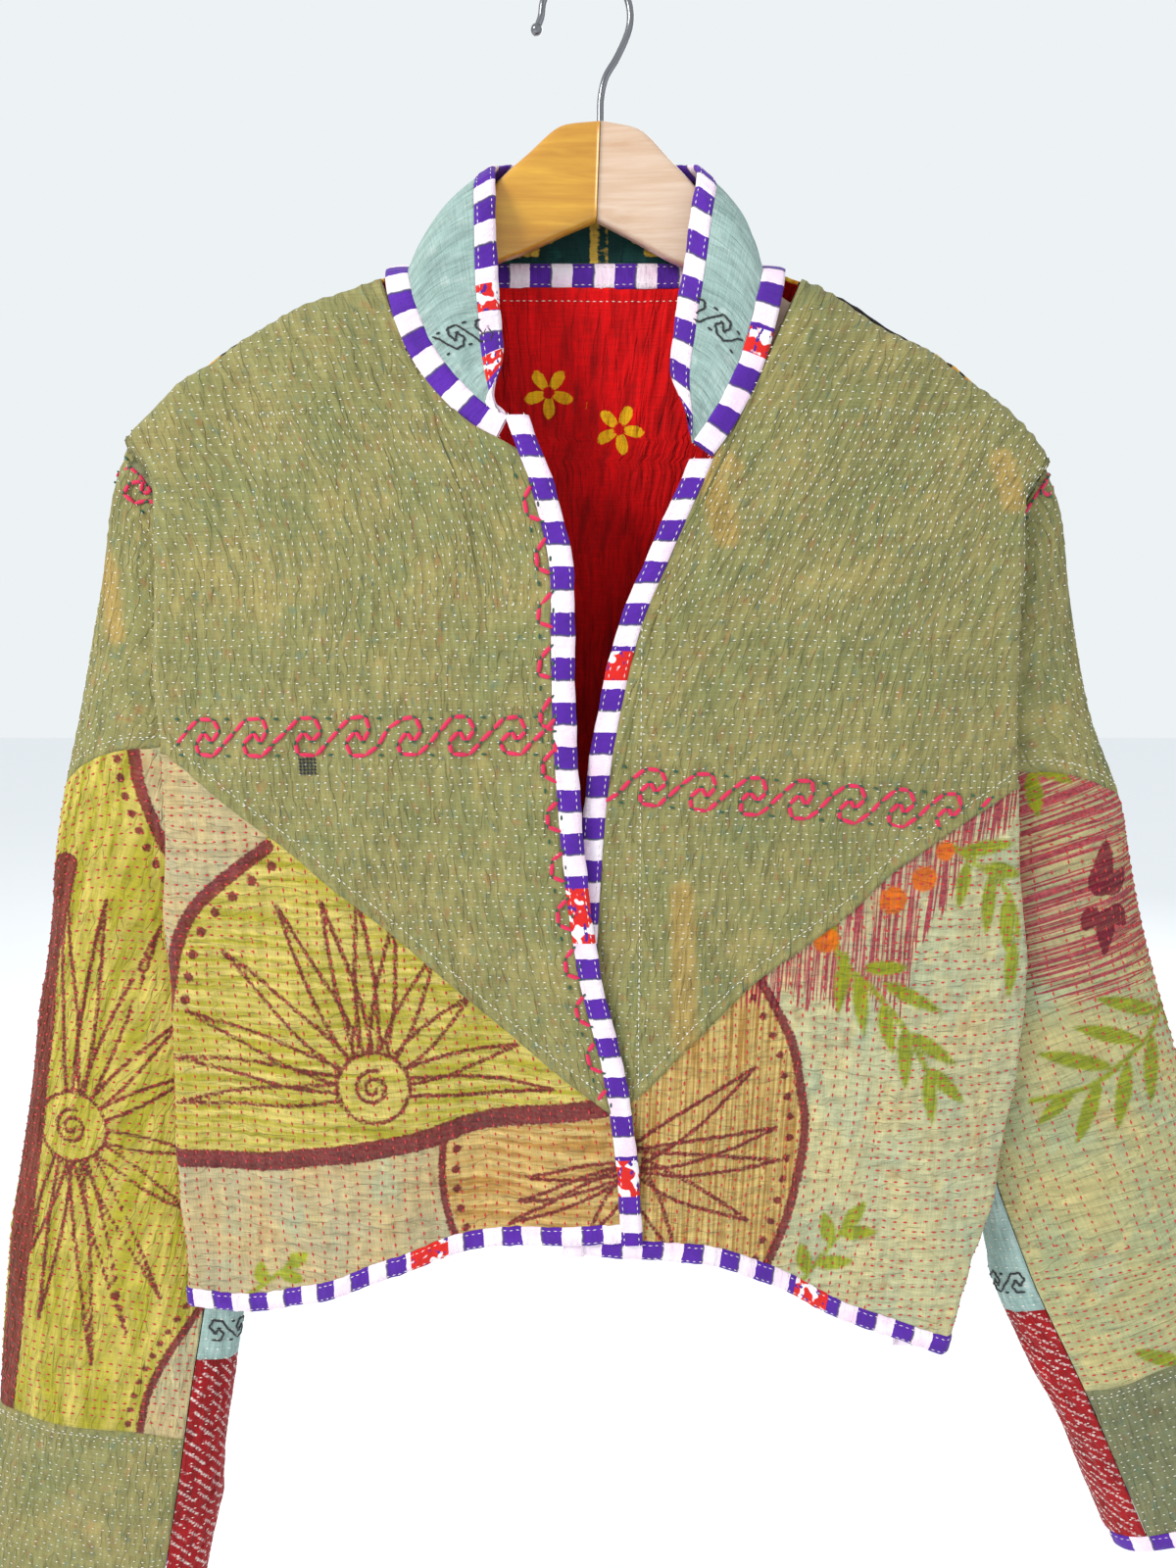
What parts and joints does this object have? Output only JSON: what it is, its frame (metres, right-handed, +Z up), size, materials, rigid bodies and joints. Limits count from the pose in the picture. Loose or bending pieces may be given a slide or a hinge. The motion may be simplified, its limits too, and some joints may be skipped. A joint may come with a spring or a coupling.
{
  "type": "kantha jacket on a hanger",
  "caption": "Short quilted kantha jacket with a stand collar, striped binding and pieced printed panels, hanging open at the neck on a wooden hanger",
  "frame": {"origin": "the inside top of the hanger's hook, where it sits on its peg or rail", "axes": "+Z up; the jacket's front faces -Y; +X to the viewer's right; the hanger lies along X"},
  "size_m": [0.7653, 0.076, 0.8823],
  "materials": {
    "olive_cloth": "matte",
    "printed_cloth": "matte",
    "dark_printed_cloth": "matte",
    "aqua_cloth": "matte",
    "red_cloth": "matte",
    "striped_binding": "satin",
    "hanger_wood": "satin",
    "hook_steel": "gloss"
  },
  "bodies": {
    "root": {"hanger_hook": "hook_steel", "hanger_arm_l": "hanger_wood", "hanger_arm_r": "hanger_wood", "front_upper_l": "olive_cloth", "front_upper_r": "olive_cloth", "front_lower_l": "printed_cloth", "front_lower_r": "printed_cloth", "back": "dark_printed_cloth", "sleeve_upper_l": "olive_cloth", "sleeve_mid_l": "printed_cloth", "sleeve_cuff_l": "olive_cloth", "sleeve_back_l": "aqua_cloth", "sleeve_back_cuff_l": "red_cloth", "sleeve_upper_r": "olive_cloth", "sleeve_mid_r": "printed_cloth", "sleeve_cuff_r": "olive_cloth", "sleeve_back_r": "aqua_cloth", "sleeve_back_cuff_r": "red_cloth", "collar": "aqua_cloth", "binding_front_l": "striped_binding", "binding_front_r": "striped_binding", "binding_hem_l": "striped_binding", "binding_hem_r": "striped_binding", "binding_hem_back": "striped_binding", "binding_collar": "striped_binding", "binding_neck": "striped_binding", "binding_cuff_l": "striped_binding", "binding_cuff_r": "striped_binding"}
  },
  "joints": []
}
